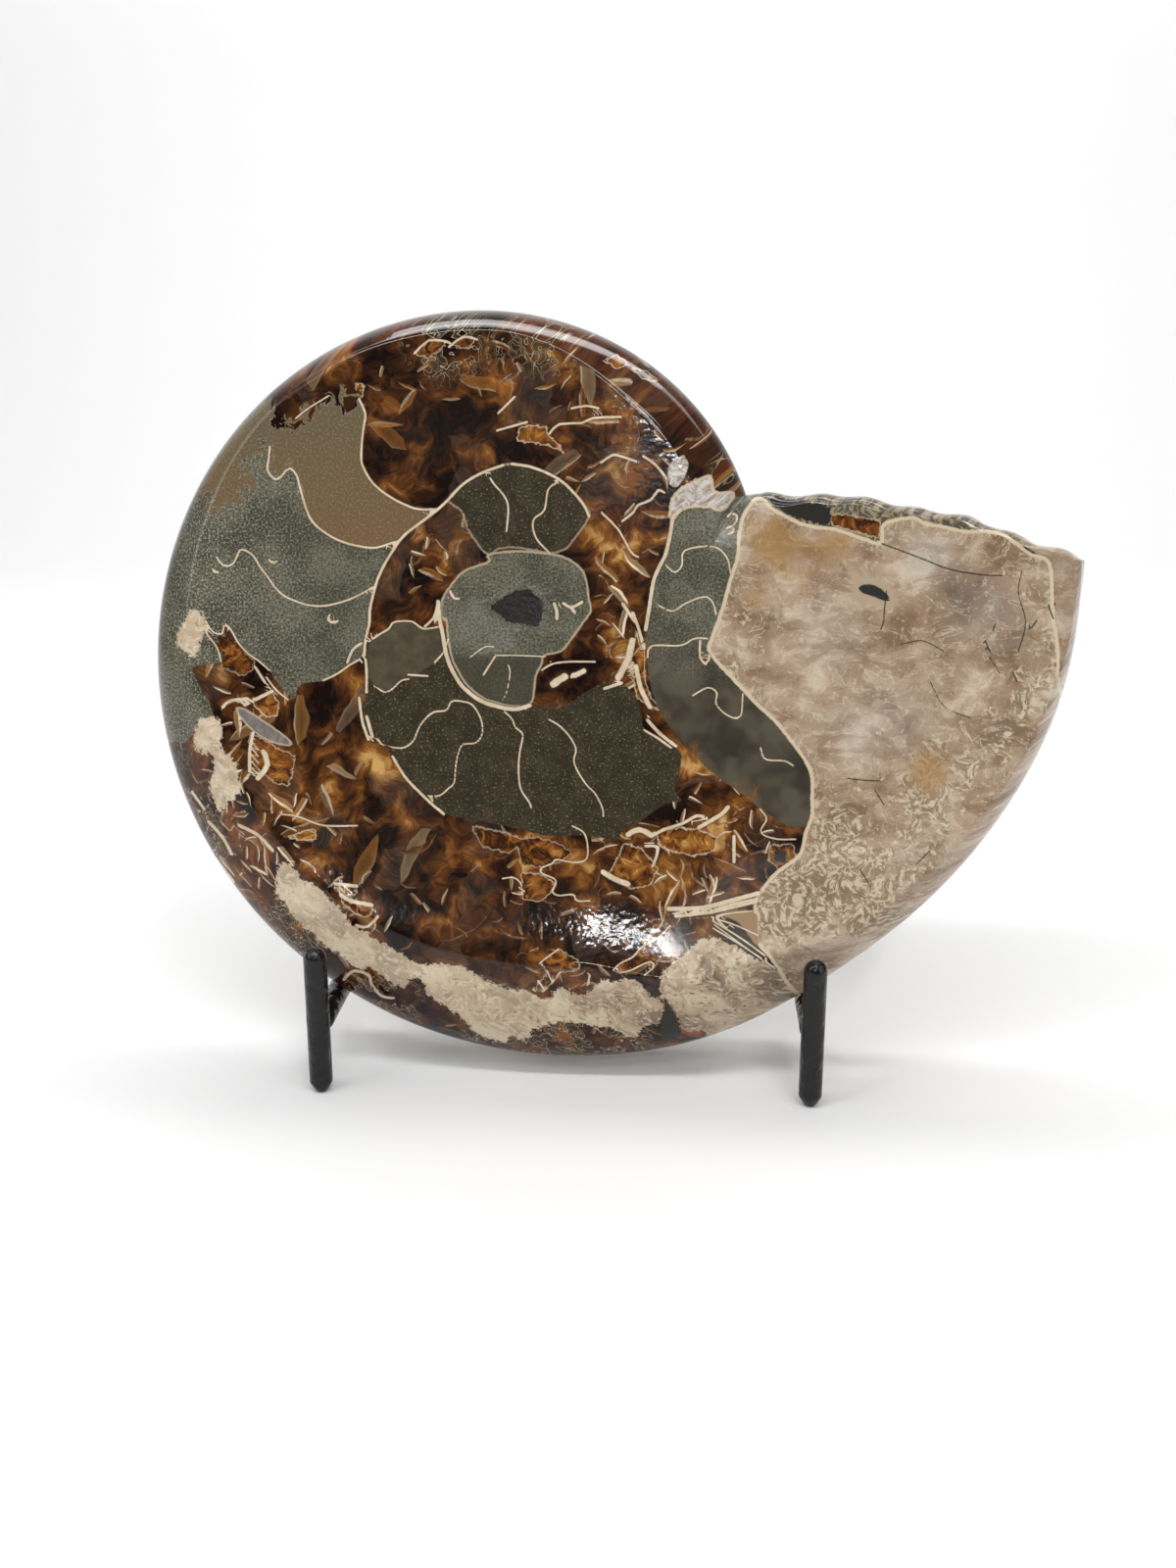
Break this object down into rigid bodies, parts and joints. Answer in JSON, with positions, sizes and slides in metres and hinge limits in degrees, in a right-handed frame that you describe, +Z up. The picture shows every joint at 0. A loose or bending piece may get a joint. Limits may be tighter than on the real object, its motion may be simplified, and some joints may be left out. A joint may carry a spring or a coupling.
{
  "type": "polished fossil ammonite on an iron display stand",
  "caption": "Coiled ammonite fossil, ground flat and polished on both faces, leaning back upright in a low black iron stand with a rear leg.",
  "frame": {"origin": "on the floor, under the middle of the whole object", "axes": "+X to the right of someone facing the polished front, +Y away from them to the back, +Z up"},
  "size_m": [0.2468, 0.121, 0.1973],
  "materials": {
    "polished_stone": "ground and polished to a gloss, brown agate, amber calcite and grey-green chambers with cream lines",
    "black_iron": "hand-forged bar with a black semi-gloss coat, slightly hammered"
  },
  "bodies": {
    "root": {"fossil_ammonite": "polished_stone", "front_post_left": "black_iron", "front_post_right": "black_iron", "side_bar_left": "black_iron", "side_bar_right": "black_iron", "rear_leg": "black_iron"}
  },
  "joints": []
}
